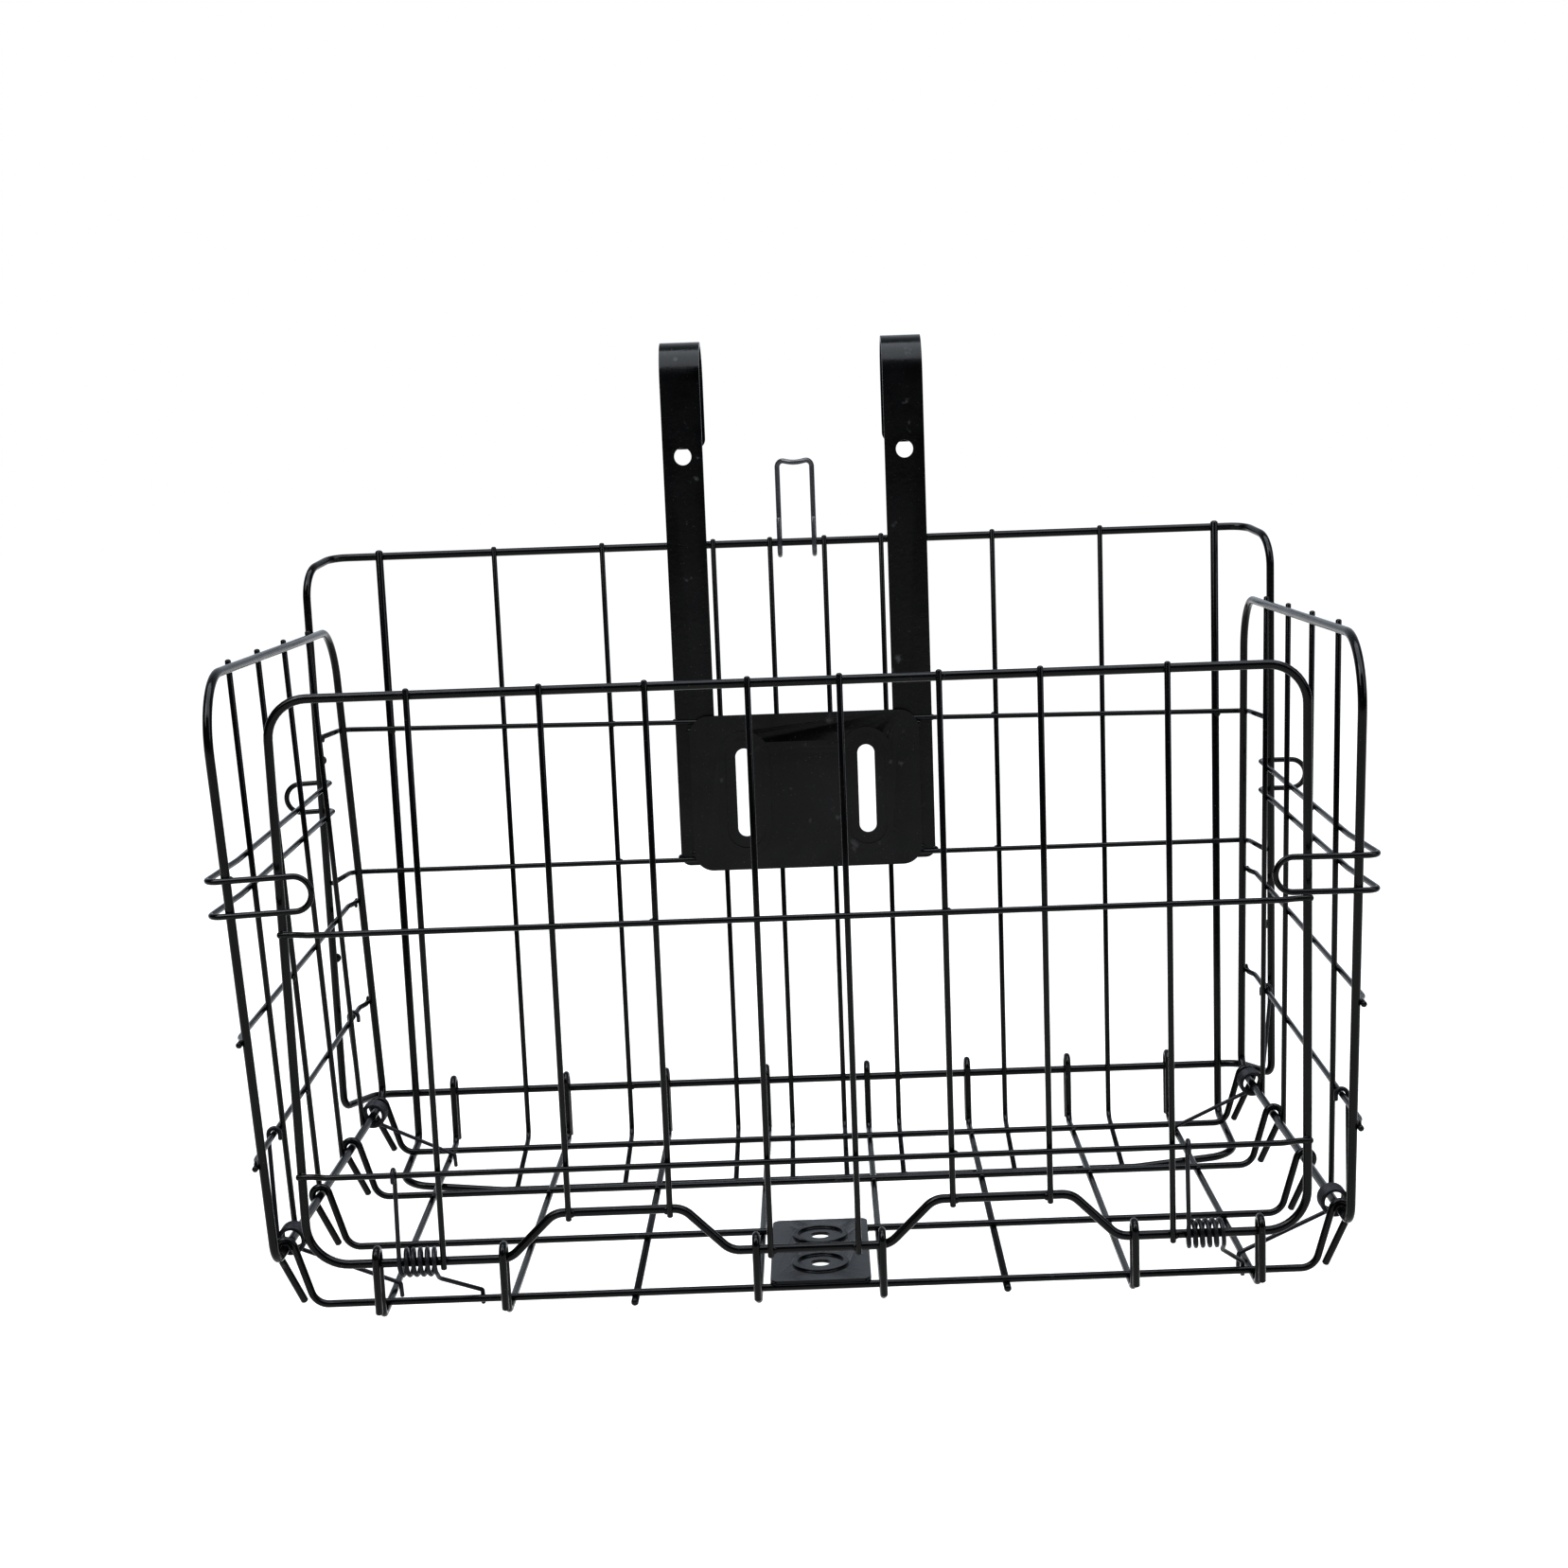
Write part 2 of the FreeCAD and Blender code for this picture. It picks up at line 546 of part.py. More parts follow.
def build_slotted_plate():
    """Pressed plate in front of the back rails, two upright slots in raised rings."""
    body = doc.addObject("PartDesign::Body", "slot_plate")
    height = d.slot_plate_top_z - d.slot_plate_low_z
    outline = rounded_box(d.slot_plate_width, height, d.slot_plate_corner)
    pad(body, "sheet", sketch_on(body, "outline", "XZ_Plane", outline), "Sizes.slot_plate_thick")
    rings = []
    slots = []
    inner_width = d.ridge_width - 2 * d.ridge_band
    inner_height = d.ridge_height - 2 * d.ridge_band
    for side in (LEFT, RIGHT):
        x = side * d.slot_x
        rings += rounded_box(d.ridge_width, d.ridge_height, d.ridge_width / 2 - 0.01, x)
        rings += rounded_box(inner_width, inner_height, inner_width / 2 - 0.01, x)
        slots += rounded_box(d.slot_width, d.slot_height, d.slot_width / 2 - 0.01, x)
    ring_sketch = sketch_on(body, "ring_outlines", "XZ_Plane", rings)
    pad(body, "rings", ring_sketch, "Sizes.ridge_rise", "Sizes.slot_plate_thick")
    doc.recompute()
    before = body.Shape.Volume
    pocket(body, "slots", sketch_on(body, "slot_outlines", "XZ_Plane", slots), "4 * Sizes.slot_plate_thick")
    doc.recompute()
    straight = d.slot_height - d.slot_width
    slot_area = straight * d.slot_width + math.pi * d.slot_width ** 2 / 4
    check_cut(body, before, 2 * slot_area * d.slot_plate_thick)
    body.Label = "slotted_plate"
    plate_back = "-3 * Sizes.mesh_wire / 2 + 2 * Sizes.weld_set"
    place(body, "Sizes.mesh_shift", plate_back, "(Sizes.slot_plate_low_z + Sizes.slot_plate_top_z) / 2")
    nodes.append(body)


# ---- side panels -------------------------------------------------------------------------------

def side_point(side, y, height, out=0.0):
    """A point of a side panel: how far up from its hinge and how far outward of its rim."""
    sine, cosine = math.sin(lean[side]), math.cos(lean[side])
    x = hinge_x[side] + height * sine + out * cosine
    return (side * x, y, d.side_hinge_z + height * cosine - out * sine)


def side_front_y(height):
    """Where the leaning front edge is at a height above the hinge."""
    return d.side_front_low_y + (d.side_front_top_y - d.side_front_low_y) * height / d.side_height


def rail_height(back_height, y):
    """Height above the hinge of a side rail that drops evenly toward the front."""
    run = d.side_back_y - d.side_front_low_y
    return back_height - d.side_rail_drop * (d.side_back_y - y) / run


def out_to(side, x, height):
    """Outward offset of a point of the side panel that lies at a distance x from the middle."""
    return (x - hinge_x[side] - height * math.sin(lean[side])) / math.cos(lean[side])


def build_side_panel(side):
    """Closed rim, four uprights, two rails and the loop wire, each layer outside the last."""
    name = SIDE_NAMES[side]
    top = d.side_height
    outline = [(d.side_front_low_y, 0), (d.side_back_y, 0), (d.side_back_y, top)]
    outline.append((d.side_front_top_y, top))
    points = [side_point(side, y, height) for y, height in outline]
    radii = [d.side_low_corner, d.side_low_corner, d.side_back_corner, d.side_front_corner]
    rim = bent_wire(f"{name}_rim", points, radii, "rim_wire", closed=True)
    add_node(f"{name}_panel_rim", rim)

    uprights = []
    reach = rim_radius + d.rim_nub
    for y in side_uprights:
        start = side_point(side, y, -reach, rim_to_mesh)
        end = side_point(side, y, top + reach, rim_to_mesh)
        uprights.append(straight_wire(f"{name}_upright", start, end, "mesh_wire"))
    add_node(f"{name}_vertical_wires", uprights)

    outer = rim_to_mesh + mesh_to_mesh
    joggle, level = 3.0, 8.0
    for letter, height in (("b", d.side_rail_b), ("c", d.side_rail_c)):
        front = side_front_y(height - d.side_rail_drop)
        back = d.side_back_y
        plan = [(front - d.nub, rim_to_mesh), (front + joggle, rim_to_mesh), (front + level, outer)]
        plan += [(back - level, outer), (back - joggle, rim_to_mesh), (back + d.nub, rim_to_mesh)]
        points = [side_point(side, y, rail_height(height, y), out) for y, out in plan]
        rail = bent_wire(f"{name}_rail_{letter}_wire", points, 8.0, "mesh_wire")
        add_node(f"{name}_rail_{letter}", rail)

    low = loop_low[side]
    middle = low + d.loop_gap / 2
    front_leg = side_front_y(middle) - rim_to_mesh
    plan = [
        (front_leg, out_to(side, d.front_loop_x, middle)),
        (front_leg, out_to(side, d.front_loop_corner_x, middle)),
        (side_uprights[0] - d.loop_gap, outer),
        (d.back_loop_y, outer),
        (d.back_loop_y, out_to(side, d.back_loop_x, middle)),
    ]
    slope = d.loop_rise / (d.back_loop_y - front_leg)
    lower = [(y, low + slope * (y - front_leg), out) for y, out in plan]
    points = [side_point(side, *at) for at in lower]
    points += [side_point(side, y, height + d.loop_gap, out) for y, height, out in lower[::-1]]
    half_gap = d.loop_gap / 2
    radii = [half_gap, d.loop_corner, 30.0, d.loop_corner, half_gap]
    loop = bent_wire(f"{name}_loop", points, radii + radii[::-1], "mesh_wire", closed=True)
    add_node(f"{name}_loop_wire", loop)


# ---- springs and latch -------------------------------------------------------------------------

def torsion_spring(name, coil, coil_start, outward, leg_rail, leg_side, floor_wire_at):
    """A torsion spring: an upright leg that hooks a panel's rail, a coil, and an arm to the floor.

    coil is its number of whole turns and its length. coil_start is on the hinge axis at the leg's
    end of the coil, and outward points away from the basket. leg_rail is the rail's centre where the leg hooks it, leg_side is 1 for a leg outside
    the rail and -1 for one inside, and floor_wire_at is the floor wire's centre under the arm.
    """
    whole_turns, coil_length = coil
    up = V(0, 0, 1)
    axis = up.cross(outward)
    wire_radius = d.spring_wire / 2
    play = 0.25
    lead = 5.0
    reach = mesh_radius + wire_radius + play
    near = outward * (reach * leg_side)
    leg_start = coil_start + outward * d.coil_radius
    leg = [
        leg_rail - near - up * 2,
        leg_rail - near + up * reach,
        leg_rail + near + up * reach,
        leg_start + up * lead,
        leg_start,
    ]
    grip = floor_radius + wire_radius + play
    arm_top = floor_wire_at - outward * grip + up * grip
    arm_tip = floor_wire_at - outward * (grip + play) - up * (grip + play)

    to_arm = arm_top - coil_start
    distance = math.hypot(to_arm.dot(outward), to_arm.dot(up))
    last_angle = math.atan2(-to_arm.dot(up), to_arm.dot(outward)) - math.acos(d.coil_radius / distance)
    turns = whole_turns + last_angle / (2 * math.pi)
    helix = Part.makeHelix(coil_length / turns, coil_length, d.coil_radius)
    helix.Placement = FreeCAD.Placement(FreeCAD.Matrix(
        outward.x, -up.x, axis.x, coil_start.x,
        outward.y, -up.y, axis.y, coil_start.y,
        outward.z, -up.z, axis.z, coil_start.z,
        0, 0, 0, 1,
    ))
    ray = outward * math.cos(last_angle) - up * math.sin(last_angle)
    arm_start = coil_start + axis * coil_length + ray * d.coil_radius
    heading = (outward * math.sin(last_angle) + up * math.cos(last_angle)) * -1
    arm = [arm_start, arm_start + heading * lead, arm_top, arm_tip]

    edges = [piece.toShape() for piece in route(leg, [0, reach, reach, 4.0, 0])]
    edges += helix.Edges
    edges += [piece.toShape() for piece in route(arm, [0, 4.0, 1.0, 0])]
    section = Part.Wire(Part.makeCircle(wire_radius, leg[0], up))
    spring = doc.addObject("Part::Feature", name)
    spring.Shape = Part.Wire(edges).makePipeShell([section], True, True)
    return spring


def build_front_springs():
    """Two equal springs on the front panel's lower wire; their arms press on the front rail."""
    outward = V(0, -1, 0)
    rail_y = d.front_y - rim_to_mesh - mesh_to_mesh
    coil = (d.front_coil_turns, d.front_coil_length)
    for side, coil_x, arm_x in ((LEFT, -136.4, -112.0), (RIGHT, 127.0, 148.0)):
        name = f"front_spring_{SIDE_NAMES[side]}"
        coil_start = V(coil_x, d.front_y, d.front_hinge_z)
        leg_rail = V(coil_x, rail_y, d.front_low_z)
        floor_rail = V(arm_x, rail_ys[0], 0)
        add_node(name, torsion_spring(name, coil, coil_start, outward, leg_rail, -1, floor_rail))


def build_side_springs():
    """Two springs on each side panel's lower wire; their arms press on the outer cross wires."""
    stations = [
        ("left_spring_front", LEFT, -192.0, -180.5, -181.0),
        ("left_spring_rear", LEFT, -35.0, -31.0, -25.5),
        ("right_spring_front", RIGHT, -192.0, -180.5, -182.0),
        ("right_spring_rear", RIGHT, -35.0, -41.0, -25.5),
    ]
    coil = (d.side_coil_turns, d.side_coil_length)
    out = rim_to_mesh + mesh_to_mesh
    for name, side, coil_y, leg_y, arm_y in stations:
        coil_start = V(hinge_x[side], coil_y, d.side_hinge_z)
        at = side_point(side, leg_y, rail_height(d.side_rail_c, leg_y), out)
        leg_rail = V(side * at[0], at[1], at[2])
        slip = d.first_wire_slip * (arm_y - d.front_y) / (d.back_rim_y - d.front_y)
        outer_x = slip - cross_xs[0] if side == LEFT else cross_xs[-1]
        cross_wire = V(outer_x, arm_y, cross_z)
        spring = torsion_spring(name, coil, coil_start, V(1, 0, 0), leg_rail, 1, cross_wire)
        if side == LEFT:
            spring.Shape = spring.Shape.mirror(V(0, 0, 0), V(1, 0, 0))
        add_node(name, spring)


def build_latch():
    """Wire clip that turns on the back panel's upper wire and holds the folded basket shut."""
    front = d.back_rim_y - d.latch_hook_radius
    back = d.back_rim_y + d.latch_hook_radius
    low = d.latch_hook_z - d.latch_hook_radius
    bow_drop = 1.5
    leg = [(front, d.latch_end_z), (front, low), (back, low), (back, d.latch_top_z)]
    points = [(d.mesh_shift + d.latch_half, y, z) for y, z in leg]
    points.append((d.mesh_shift, back - d.latch_bow, d.latch_top_z - bow_drop))
    points += [(d.mesh_shift - d.latch_half, y, z) for y, z in leg[::-1]]
    bend = d.latch_hook_radius
    radii = [0, bend, bend, 2.5, 6.0, 2.5, bend, bend, 0]
    add_node("latch_clip", bent_wire("latch", points, radii, "mesh_wire"))


# ---- the whole basket --------------------------------------------------------------------------

build_back_rim()
build_back_wires()
build_straps()
build_slotted_plate()
build_rails()
build_cross_wires()
build_floor_plate()
build_front_panel()
for panel_side in (LEFT, RIGHT):
    build_side_panel(panel_side)
build_front_springs()
build_side_springs()
build_latch()
doc.recompute()

for item in doc.Objects:
    if "Invalid" in item.State or "Error" in item.State:
        raise RuntimeError(f"{item.Name} failed: {item.State}")
for item in nodes:
    if item.Shape.isNull() or not item.Shape.isValid() or item.Shape.Volume <= 0:
        raise RuntimeError(f"{item.Label} has no valid solid")

os.makedirs("parts", exist_ok=True)
for item in nodes:
    item.Shape.exportStep(f"parts/{item.Label}.step")

everything = Part.makeCompound([item.Shape for item in nodes])
box = everything.BoundBox
print(f"{len(nodes)} nodes, {box.XLength:.1f} x {box.YLength:.1f} x {box.ZLength:.1f} mm")
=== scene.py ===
import json
import math

import bmesh
import bpy
from mathutils import Matrix, Vector
from mathutils.bvhtree import BVHTree


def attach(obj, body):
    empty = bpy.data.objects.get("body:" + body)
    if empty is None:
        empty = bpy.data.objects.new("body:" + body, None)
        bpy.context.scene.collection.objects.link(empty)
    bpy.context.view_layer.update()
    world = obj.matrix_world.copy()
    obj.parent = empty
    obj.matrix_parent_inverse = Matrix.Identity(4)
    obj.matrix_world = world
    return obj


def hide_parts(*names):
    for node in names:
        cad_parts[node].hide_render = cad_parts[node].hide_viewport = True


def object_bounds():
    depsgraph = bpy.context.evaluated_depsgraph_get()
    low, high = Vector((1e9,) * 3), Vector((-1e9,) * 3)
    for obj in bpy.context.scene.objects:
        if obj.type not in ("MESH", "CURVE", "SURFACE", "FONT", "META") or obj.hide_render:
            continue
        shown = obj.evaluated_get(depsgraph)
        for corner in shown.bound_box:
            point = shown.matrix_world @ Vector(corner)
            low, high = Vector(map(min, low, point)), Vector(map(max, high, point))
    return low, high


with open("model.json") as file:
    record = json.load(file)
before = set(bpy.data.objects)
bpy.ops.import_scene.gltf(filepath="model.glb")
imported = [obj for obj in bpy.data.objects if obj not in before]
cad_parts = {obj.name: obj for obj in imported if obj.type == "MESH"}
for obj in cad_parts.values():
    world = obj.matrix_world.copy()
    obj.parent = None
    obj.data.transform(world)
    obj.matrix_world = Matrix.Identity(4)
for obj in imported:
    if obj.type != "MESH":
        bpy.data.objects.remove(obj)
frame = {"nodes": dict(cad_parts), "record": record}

# The looks of a folding wire basket: every CAD node is carried over as a merged, smooth-shaded
# piece with domed wire ends, the pressed sheets and flat bars get rounded edges, and the welds get
# their nuggets. Lengths are in metres.

CAD_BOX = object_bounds()
MM = 0.001

# Radii of the wires and of a spring's coil.
RIM_WIRE = 1.5 * MM
FLOOR_WIRE = 1.25 * MM
MESH_WIRE = 1.0 * MM
SPRING_WIRE = 0.75 * MM
COIL_OUTER = 5.25 * MM

# How far apart the two sides of a mesh seam may lie, and the angles that count as an edge.
SEAM_GAP = 0.002 * MM
WIRE_CREASE = 60.0
SHEET_CREASE = 40.0
EDGE_ROUNDING = 0.35 * MM

# A domed wire end: each ring is the one before, scaled about the middle of the cut and lifted by
# a share of the wire's radius.
SHOULDER = (0.80, 0.28)
CROWN = (0.5, 0.36)

# A weld nugget, in radii of the thinner wire, and the reach that gathers one weld's contacts.
NUGGET_SPREAD = 1.28
NUGGET_HEIGHT = 0.62
WELD_REACH = 4.0 * MM

# The finish.
DUST_TONE = (0.09, 0.09, 0.095)
SCUFF_TONE = (0.12, 0.12, 0.125)
COAT_ROUGHNESS = 0.08
RIPPLE_DEPTH = 0.6
GRAIN_DEPTH = 0.35

# The studio. The camera's turn is its yaw, pitch and roll in degrees.
CAMERA_PLACE = (0.0062, -0.9958, -0.0291)
CAMERA_TURN = (-0.267, -10.352, -2.030)
CAMERA_LENS = 55.08
CAMERA_SHIFT = (-0.0331, 0.0669)
VIEW_GAMMA = 0.82
FLOOR_RADIUS = 9.0
FLOOR_GLOW = 0.98
REFLECTED_FRONT = 0.03
REFLECTED_BACK = 0.9

behaviour = frame["record"]["behaviour"]
body_of = {node: body for body, members in behaviour["bodies"].items() for node in members}
slot_of = {part["node"]: part["material_slot"] for part in frame["record"]["subparts"]}


# ---- materials -----------------------------------------------------------------------------------

def noise(tree, vector, scale, detail=3.0):
    """A noise texture in object space; scale is per metre."""
    node = tree.nodes.new("ShaderNodeTexNoise")
    node.inputs["Scale"].default_value = scale
    node.inputs["Detail"].default_value = detail
    tree.links.new(vector, node.inputs["Vector"])
    return node.outputs["Fac"]


def remap(tree, value, from_low, from_high, to_low, to_high):
    """A clamped linear map of a value."""
    node = tree.nodes.new("ShaderNodeMapRange")
    for socket, number in zip(node.inputs[1:5], (from_low, from_high, to_low, to_high)):
        socket.default_value = number
    tree.links.new(value, node.inputs["Value"])
    return node.outputs["Result"]


def blend_colors(tree, factor, first, second):
    """Mix of two colours, or of a colour and a socket, by a factor."""
    node = tree.nodes.new("ShaderNodeMix")
    node.data_type = "RGBA"
    tree.links.new(factor, node.inputs["Factor"])
    for socket, color in ((node.inputs[6], first), (node.inputs[7], second)):
        if isinstance(color, tuple):
            socket.default_value = (*color, 1.0)
        else:
            tree.links.new(color, socket)
    return node.outputs[2]


def enamel(name, black, faded, rough, peel, metallic=0.0, coat=0.0, scuffs=0.0, shine=0.17):
    """Black finish with orange peel, uneven gloss, cloudy colour, dust specks and faint scuffs."""
    material = bpy.data.materials.new(name)
    material.use_nodes = True
    tree = material.node_tree
    shader = tree.nodes["Principled BSDF"]
    vector = tree.nodes.new("ShaderNodeTexCoord").outputs["Object"]

    clouds = noise(tree, vector, 35.0)
    cloudy = blend_colors(tree, remap(tree, clouds, 0.35, 0.7, 0.0, 1.0), black, faded)
    specks = remap(tree, noise(tree, vector, 1700.0, 1.0), 0.74, 0.80, 0.0, 0.5)
    dusty = blend_colors(tree, specks, cloudy, DUST_TONE)
    rubbed = remap(tree, noise(tree, vector, 140.0, 6.0), 0.66, 0.74, 0.0, scuffs)
    color = blend_colors(tree, rubbed, dusty, SCUFF_TONE)
    tree.links.new(color, shader.inputs["Base Color"])

    gloss = remap(tree, noise(tree, vector, 90.0, 4.0), 0.3, 0.7, rough * 0.75, rough * 1.35)
    tree.links.new(gloss, shader.inputs["Roughness"])
    shader.inputs["Metallic"].default_value = metallic
    shader.inputs["Specular IOR Level"].default_value = shine
    shader.inputs["Coat Weight"].default_value = coat
    shader.inputs["Coat Roughness"].default_value = COAT_ROUGHNESS

    ripple = tree.nodes.new("ShaderNodeBump")
    ripple.inputs["Strength"].default_value = RIPPLE_DEPTH
    ripple.inputs["Distance"].default_value = peel
    tree.links.new(noise(tree, vector, 520.0, 2.0), ripple.inputs["Height"])
    grain = tree.nodes.new("ShaderNodeBump")
    grain.inputs["Strength"].default_value = GRAIN_DEPTH
    grain.inputs["Distance"].default_value = peel / 4
    tree.links.new(noise(tree, vector, 2600.0, 1.0), grain.inputs["Height"])
    tree.links.new(ripple.outputs["Normal"], grain.inputs["Normal"])
    tree.links.new(grain.outputs["Normal"], shader.inputs["Normal"])
    return material


def make_materials():
    """One finish per material slot of the record."""
    black = (0.0008, 0.0008, 0.0010)
    faded = (0.0026, 0.0027, 0.0032)
    oxide = (0.012, 0.012, 0.014)
    worn_oxide = (0.03, 0.03, 0.034)
    # The latch's base is greyer than the black of the other enamels. This is a painted highlight
    # that stands in for the grey sheen on the latch wire. Its second tone is the random cloudy
    # variation.
    latch_highlight_grey = (0.016, 0.017, 0.020)
    faded_grey = (0.035, 0.036, 0.040)
    thin = 0.05 * MM
    return {
        "rim_wire": enamel("rim_enamel", black, faded, 0.16, thin, coat=0.05),
        "mesh_wire": enamel("mesh_enamel", black, faded, 0.18, thin, coat=0.05),
        "floor_wire": enamel("floor_enamel", black, faded, 0.19, thin, coat=0.05, scuffs=0.3),
        "hook_bar": enamel("bar_enamel", black, faded, 0.22, 0.07 * MM, coat=0.05, scuffs=0.3),
        "pressed_plate": enamel(
            "plate_enamel", black, faded, 0.17, 0.06 * MM, coat=0.06, scuffs=0.2),
        "spring_steel": enamel("spring_oxide", oxide, worn_oxide, 0.30, 0.02 * MM, metallic=0.6),
        "latch_wire": enamel("latch_enamel", latch_highlight_grey, faded_grey, 0.24, thin, coat=0.3, shine=0.5),
    }


# ---- pieces --------------------------------------------------------------------------------------

def merged_mesh(node):
    """A CAD node's mesh with its seams closed, as a bmesh."""
    grid = bmesh.new()
    grid.from_mesh(frame["nodes"][node].data)
    bmesh.ops.remove_doubles(grid, verts=grid.verts, dist=SEAM_GAP)
    return grid


def add_piece(name, grid, body, slot, sharp=WIRE_CREASE):
    """Turn a bmesh into a smooth-shaded piece that rides on a body."""
    mesh = bpy.data.meshes.new(name)
    bmesh.ops.recalc_face_normals(grid, faces=grid.faces)
    grid.to_mesh(mesh)
    grid.free()
    mesh.polygons.foreach_set("use_smooth", [True] * len(mesh.polygons))
    mesh.set_sharp_from_angle(angle=math.radians(sharp))
    mesh.materials.append(materials[slot])
    piece = bpy.data.objects.new(name, mesh)
    bpy.context.scene.collection.objects.link(piece)
    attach(piece, body)
    return piece


def flat_caps(grid, radius):
    """The flat round ends of a wire: groups of linked coplanar faces that span a circle."""
    grid.faces.ensure_lookup_table()
    seen = set()
    caps = []
    for face in grid.faces:
        if face in seen or face.calc_area() > math.pi * radius ** 2 * 1.05:
            continue
        group = {face}
        front = [face]
        while front:
            current = front.pop()
            for edge in current.edges:
                for other in edge.link_faces:
                    if other not in group and other.normal.dot(face.normal) > 0.9999:
                        group.add(other)
                        front.append(other)
        seen |= group
        corners = {vert for item in group for vert in item.verts}
        centre = sum((vert.co for vert in corners), Vector()) / len(corners)
        reach = [(vert.co - centre).length for vert in corners]
        if len(corners) >= 6 and min(reach) > 0.9 * radius and max(reach) < 1.1 * radius:
            caps.append((list(group), centre, face.normal.copy()))
    return caps


def dome_ends(grid, radius):
    """Round the cut ends of a wire: each flat cap becomes a low dome of paint over the cut."""
    for faces, centre, normal in flat_caps(grid, radius):
        inset = bmesh.ops.extrude_face_region(grid, geom=faces)
        bmesh.ops.delete(grid, geom=faces, context="FACES")
        top = [item for item in inset["geom"] if isinstance(item, bmesh.types.BMVert)]
        for vert in top:
            vert.co = centre + (vert.co - centre) * SHOULDER[0] + normal * radius * SHOULDER[1]
        lid = [item for item in inset["geom"] if isinstance(item, bmesh.types.BMFace)]
        crown = bmesh.ops.extrude_face_region(grid, geom=lid)
        bmesh.ops.delete(grid, geom=lid, context="FACES")
        for vert in crown["geom"]:
            if isinstance(vert, bmesh.types.BMVert):
                vert.co = centre + (vert.co - centre) * CROWN[0] + normal * radius * CROWN[1]


def wire_radius(node):
    """The radius of a wire node, by its slot; a sheet counts as the thinnest welded wire."""
    gauges = {"rim_wire": RIM_WIRE, "floor_wire": FLOOR_WIRE}
    return gauges.get(slot_of[node], MESH_WIRE)


def carry_wires():
    """Every wire node as a smooth piece with domed ends."""
    for node in frame["nodes"]:
        if slot_of[node] not in ("rim_wire", "floor_wire", "mesh_wire", "latch_wire"):
            continue
        grid = merged_mesh(node)
        dome_ends(grid, wire_radius(node))
        piece = add_piece(f"{node}_wire", grid, body_of[node], slot_of[node])
        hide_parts(node)


def carry_sheets():
    """Flat bars and pressed plates with their sharp edges rounded."""
    for node in frame["nodes"]:
        if slot_of[node] not in ("hook_bar", "pressed_plate"):
            continue
        grid = merged_mesh(node)
        bmesh.ops.dissolve_limit(
            grid, angle_limit=math.radians(0.5), verts=grid.verts, edges=grid.edges)
        piece = add_piece(f"{node}_sheet", grid, body_of[node], slot_of[node], SHEET_CREASE)
        rounding = piece.modifiers.new("edge_rounding", "BEVEL")
        rounding.width = EDGE_ROUNDING
        rounding.segments = 3
        rounding.limit_method = "ANGLE"
        rounding.angle_limit = math.radians(50.0)
        rounding.harden_normals = True
        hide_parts(node)


# ---- welds ---------------------------------------------------------------------------------------

def cluster(points, reach):
    """Group points that lie within reach of a group's first point."""
    groups = []
    for point, normal in points:
        for group in groups:
            if (group[0][0] - point).length < reach:
                group.append((point, normal))
                break
        else:
            groups.append([(point, normal)])
    return groups


def weld_spots(first, second, trees):
    """Where two welded nodes touch: the middle of each contact and its direction."""
    tree_a, grid_a = trees[first]
    tree_b, _ = trees[second]
    touching = sorted({pair[0] for pair in tree_a.overlap(tree_b)})
    points = []
    for index in touching:
        face = grid_a.faces[index]
        near, _, _, _ = tree_b.find_nearest(face.calc_center_median())
        points.append((near, face.normal.copy()))
    spots = []
    for group in cluster(points, WELD_REACH):
        centre = sum((point for point, _ in group), Vector()) / len(group)
        normal = sum((direction for _, direction in group), Vector())
        if normal.length > 1e-6:
            spots.append((centre, normal.normalized()))
    return spots


def weld_nuggets():
    """A squeezed-out nugget under the paint at every spot weld, one mesh per body and slot."""
    trees = {}
    for node in frame["nodes"]:
        grid = merged_mesh(node)
        grid.faces.ensure_lookup_table()
        trees[node] = (BVHTree.FromBMesh(grid), grid)
    nuggets = {body: bmesh.new() for body in behaviour["bodies"]}
    for first, second in behaviour["press_fits"]:
        size = min(wire_radius(first), wire_radius(second))
        for centre, normal in weld_spots(first, second, trees):
            turn = normal.to_track_quat("Z", "Y").to_matrix().to_4x4()
            spread = NUGGET_SPREAD * size
            shape = Matrix.Diagonal((spread, spread, NUGGET_HEIGHT * size, 1.0))
            place = Matrix.Translation(centre) @ turn @ shape
            bmesh.ops.create_uvsphere(
                nuggets[body_of[first]], u_segments=20, v_segments=12, radius=1.0, matrix=place)
    for body, grid in nuggets.items():
        if grid.verts:
            add_piece(f"{body}_welds", grid, body, "mesh_wire", SHEET_CREASE)
        else:
            grid.free()
    for _, grid in trees.values():
        grid.free()


# ---- springs -------------------------------------------------------------------------------------

def spring_panel(node):
    """The body whose hinge wire a spring sits on, and that body's joint."""
    for body in ("front_panel", "left_panel", "right_panel"):
        if node.startswith(body.split("_")[0]):
            joint = [item for item in behaviour["joints"] if item["child"] == body][0]
            return body, joint
    raise ValueError(node)


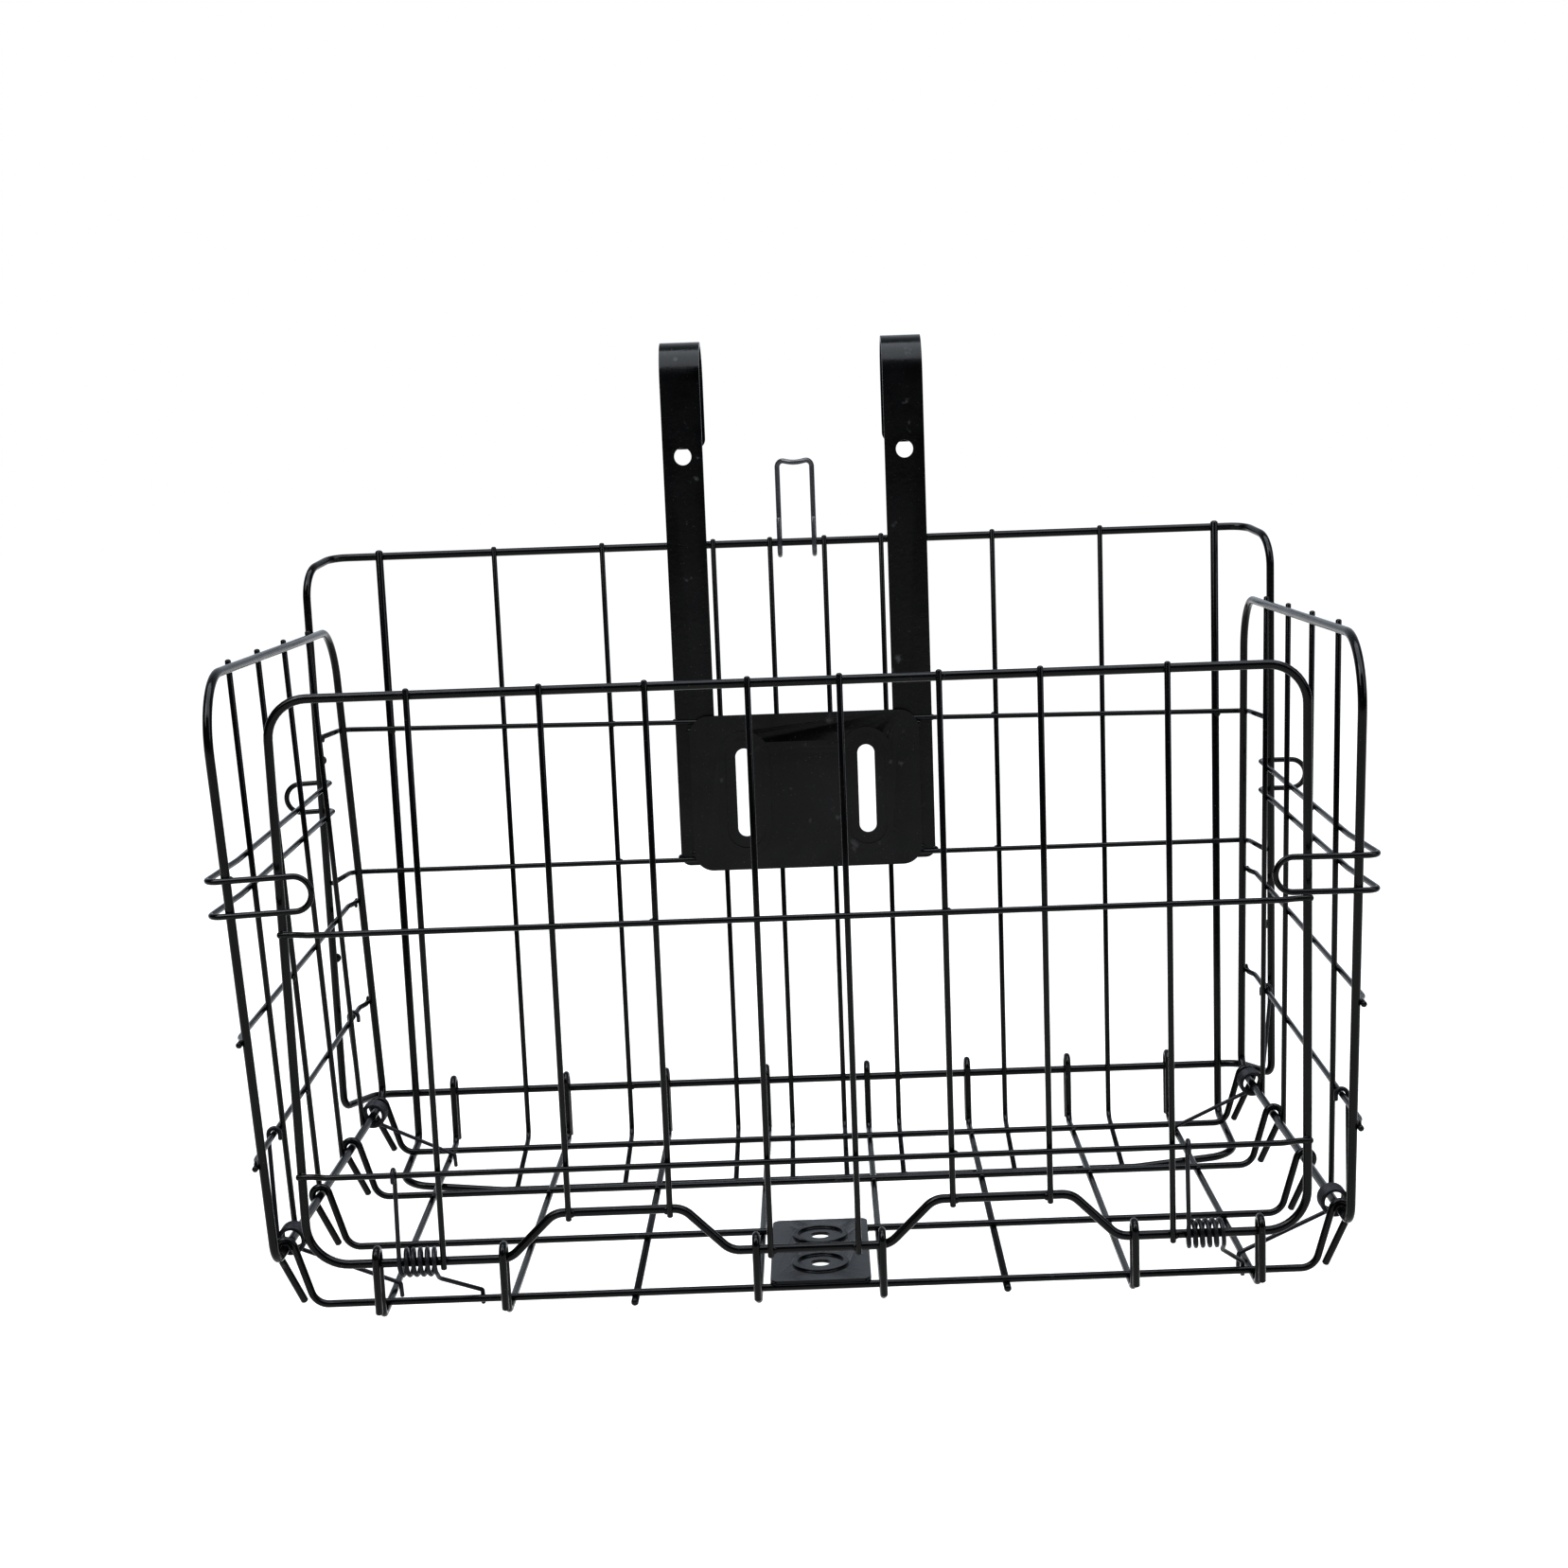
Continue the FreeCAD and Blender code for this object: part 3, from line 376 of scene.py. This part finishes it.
def split_spring(node):
    """A torsion spring as two pieces: coil and arm on the floor, upright leg on its panel."""
    panel, joint = spring_panel(node)
    hinge = Vector(joint["pos_m"])
    along = 0 if abs(joint["axis"][0]) > 0.5 else 1
    across = 1 - along
    outward = -1.0 if panel == "front_panel" else math.copysign(1.0, hinge.x)
    grid = merged_mesh(node)

    def offsets(point):
        return outward * (point[across] - hinge[across]), point.z - hinge.z

    wound = [vert.co[along] for vert in grid.verts if math.hypot(*offsets(vert.co)) < COIL_OUTER]
    first_turn = min(wound) + 2.2 * SPRING_WIRE
    leg = []
    for face in grid.faces:
        middle = face.calc_center_median()
        out, up = offsets(middle)
        beside = out > 0 and middle[along] < first_turn
        if up > 0 and (math.hypot(out, up) > COIL_OUTER or beside):
            leg.append(face)

    leg_grid = grid.copy()
    indexes = {face.index for face in leg}
    leg_grid.faces.ensure_lookup_table()
    others = [face for face in leg_grid.faces if face.index not in indexes]
    bmesh.ops.delete(leg_grid, geom=others, context="FACES")
    bmesh.ops.delete(grid, geom=leg, context="FACES")
    for part in (leg_grid, grid):
        dome_ends(part, SPRING_WIRE)
        open_edges = [edge for edge in part.edges if edge.is_boundary]
        bmesh.ops.holes_fill(part, edges=open_edges)
    add_piece(f"{node}_leg", leg_grid, panel, "spring_steel")
    coil = add_piece(f"{node}_coil", grid, body_of[node], "spring_steel")
    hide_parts(node)


# ---- the studio ----------------------------------------------------------------------------------

def add_camera():
    """The camera in front of the basket, a little above its floor and rolled by two degrees."""
    yaw, pitch, roll = (math.radians(angle) for angle in CAMERA_TURN)
    ahead = Vector((-math.sin(yaw) * math.cos(pitch), math.cos(yaw) * math.cos(pitch),
                    math.sin(pitch)))
    level = Vector((math.cos(yaw), math.sin(yaw), 0.0))
    upright = level.cross(ahead)
    right = level * math.cos(roll) + upright * math.sin(roll)
    above = upright * math.cos(roll) - level * math.sin(roll)
    camera = bpy.data.objects.new("camera", bpy.data.cameras.new("camera"))
    turn = Matrix((right, above, -ahead)).transposed().to_4x4()
    camera.matrix_world = Matrix.Translation(CAMERA_PLACE) @ turn
    camera.data.lens = CAMERA_LENS
    camera.data.sensor_width = 36.0
    camera.data.shift_x, camera.data.shift_y = CAMERA_SHIFT
    camera.data.clip_end = 50.0
    bpy.context.scene.collection.objects.link(camera)
    bpy.context.scene.camera = camera


def add_floor():
    """A wide, plain floor under the foot that glows, so that it stays white to the horizon."""
    grid = bmesh.new()
    bmesh.ops.create_circle(grid, cap_ends=True, segments=96, radius=FLOOR_RADIUS)
    mesh = bpy.data.meshes.new("floor")
    grid.to_mesh(mesh)
    grid.free()
    floor = bpy.data.objects.new("floor", mesh)
    floor.location.z = CAD_BOX[0][2]
    bpy.context.scene.collection.objects.link(floor)
    material = bpy.data.materials.new("studio_floor")
    material.use_nodes = True
    tree = material.node_tree
    shader = tree.nodes["Principled BSDF"]
    vector = tree.nodes.new("ShaderNodeTexCoord").outputs["Object"]
    cloud = remap(tree, noise(tree, vector, 3.0), 0.3, 0.7, 0.0, 1.0)
    tone = blend_colors(tree, cloud, (0.20, 0.20, 0.20), (0.22, 0.22, 0.22))
    tree.links.new(tone, shader.inputs["Base Color"])
    shader.inputs["Roughness"].default_value = 0.9
    shader.inputs["Specular IOR Level"].default_value = 0.0
    shader.inputs["Emission Color"].default_value = (1.0, 1.0, 1.0, 1.0)
    shader.inputs["Emission Strength"].default_value = FLOOR_GLOW
    mesh.materials.append(material)


def add_softbox(name, place, target, size, power, tone=(1.0, 1.0, 1.0)):
    """A square soft light aimed at a point."""
    light = bpy.data.lights.new(name, "AREA")
    light.shape = "RECTANGLE"
    light.size, light.size_y = size
    light.energy = power
    light.color = tone
    box = bpy.data.objects.new(name, light)
    box.location = place
    box.rotation_euler = (Vector(target) - Vector(place)).to_track_quat("-Z", "Y").to_euler()
    bpy.context.scene.collection.objects.link(box)


def add_lights():
    """A surround that is white to the camera and bright behind the basket, and three softboxes."""
    world = bpy.data.worlds.new("studio")
    bpy.context.scene.world = world
    world.use_nodes = True
    tree = world.node_tree
    dim = tree.nodes["Background"]
    dim.inputs["Color"].default_value = (0.84, 0.91, 1.0, 1.0)
    ways = tree.nodes.new("ShaderNodeSeparateXYZ")
    tree.links.new(tree.nodes.new("ShaderNodeTexCoord").outputs["Generated"], ways.inputs[0])
    glow = remap(tree, ways.outputs["Y"], 0.2, 0.8, REFLECTED_FRONT, REFLECTED_BACK)
    tree.links.new(glow, dim.inputs["Strength"])
    seen = tree.nodes.new("ShaderNodeBackground")
    seen.inputs["Color"].default_value = (1.0, 1.0, 1.0, 1.0)
    seen.inputs["Strength"].default_value = 1.0
    mix = tree.nodes.new("ShaderNodeMixShader")
    path = tree.nodes.new("ShaderNodeLightPath")
    tree.links.new(path.outputs["Is Camera Ray"], mix.inputs[0])
    tree.links.new(dim.outputs[0], mix.inputs[1])
    tree.links.new(seen.outputs[0], mix.inputs[2])
    tree.links.new(mix.outputs[0], tree.nodes["World Output"].inputs["Surface"])
    middle = (0.0, -0.13, -0.20)
    add_softbox("key_softbox", (-0.9, -1.0, 1.1), middle, (0.9, 0.9), 18.0)
    add_softbox("fill_softbox", (1.2, -0.7, 0.7), middle, (0.8, 1.2), 12.0, (0.92, 0.96, 1.0))
    add_softbox("top_softbox", (0.0, -0.45, 1.5), middle, (2.2, 1.8), 75.0, (0.88, 0.94, 1.0))
    bpy.context.scene.view_settings.view_transform = "Standard"
    bpy.context.scene.view_settings.gamma = VIEW_GAMMA


materials = make_materials()
for cad_node, cad_object in frame["nodes"].items():
    cad_object.data.materials.clear()
    cad_object.data.materials.append(materials[slot_of[cad_node]])
carry_wires()
carry_sheets()
weld_nuggets()
for cad_node in sorted(frame["nodes"]):
    if slot_of[cad_node] == "spring_steel":
        split_spring(cad_node)
add_camera()
add_floor()
add_lights()
